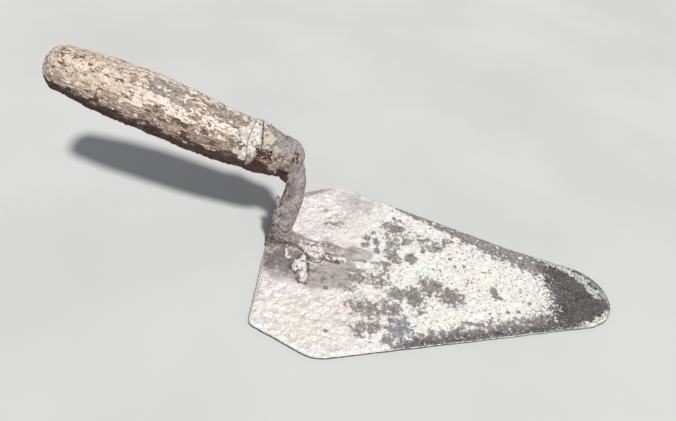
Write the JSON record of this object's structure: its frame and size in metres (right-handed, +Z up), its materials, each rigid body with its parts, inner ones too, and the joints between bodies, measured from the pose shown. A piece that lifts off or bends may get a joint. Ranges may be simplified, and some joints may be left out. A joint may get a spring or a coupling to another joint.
{
  "type": "brick trowel",
  "caption": "Worn brick trowel: flat steel blade with cut heel corners and a rounded tip, cranked forged shank, steel ferrule, turned wooden handle, dried mortar on the foot.",
  "frame": {"origin": "on the blade's flat underside, directly below the foot of the shank", "axes": "+X from the heel to the tip of the blade, +Y to the blade's left side seen from the handle, +Z up out of the blade's upper face, towards the handle"},
  "size_m": [0.3452, 0.1473, 0.1142],
  "materials": {
    "blade_film": "bare steel under a rough pinkish grey film of dried mortar, worn to dark metal in patches and at the tip",
    "shank_steel": "forged steel with brown rust and a thin rough coat of mortar",
    "ferrule_steel": "steel sleeve with mortar film above and dark red-brown rust below",
    "wood": "bare weathered hardwood, open grain, bleached and smeared with mortar",
    "mortar": "matt dried mortar, sandy and cracked"
  },
  "bodies": {
    "root": {"blade": "blade_film", "shank": "shank_steel", "rib_weld": "shank_steel", "ferrule": "ferrule_steel", "handle": "wood", "mortar_long_lobe": "mortar", "mortar_short_lobe": "mortar", "mortar_streak": "mortar", "mortar_heel_fold": "mortar"}
  },
  "joints": []
}
